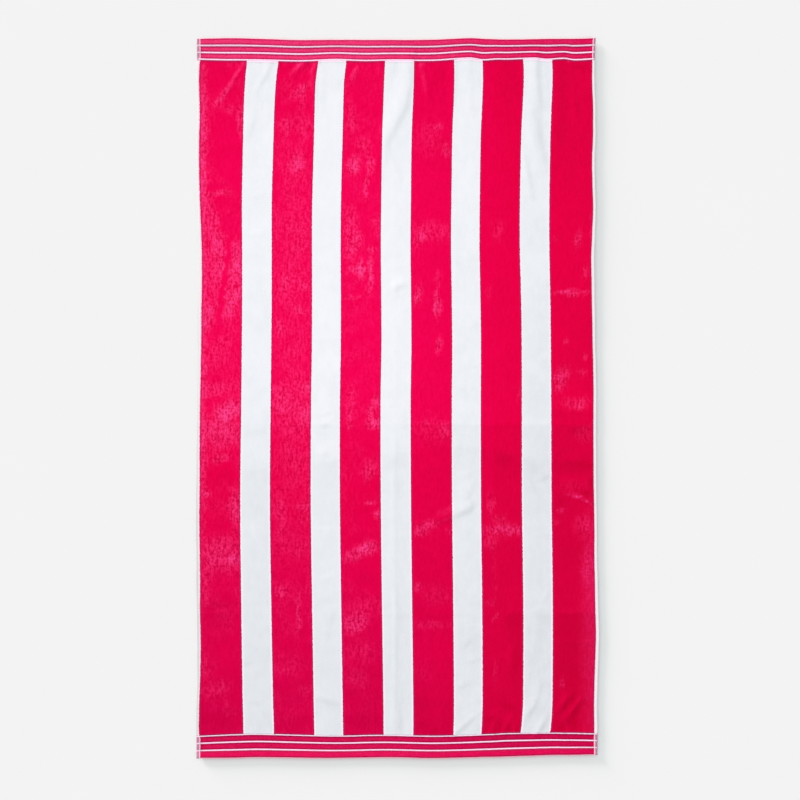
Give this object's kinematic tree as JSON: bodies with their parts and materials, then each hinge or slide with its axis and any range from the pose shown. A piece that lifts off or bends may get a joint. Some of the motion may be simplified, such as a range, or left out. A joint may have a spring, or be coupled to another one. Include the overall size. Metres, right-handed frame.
{
  "type": "beach towel",
  "caption": "Large flat beach towel of striped velour terry with flat-woven end borders and narrow sewn hems, laid out face up.",
  "frame": {"origin": "middle of the towel's underside, on the surface it lies on", "axes": "+X across the towel, +Y along it, +Z out of its velour face"},
  "size_m": [1.0046, 1.7992, 0.0062],
  "materials": {
    "towel": "matt cut-pile cotton velour in lengthwise pink and white stripes; looped terry back; flat-woven pink end borders with thin white lines; white side hems"
  },
  "bodies": {
    "root": {"towel": "towel"}
  },
  "joints": []
}
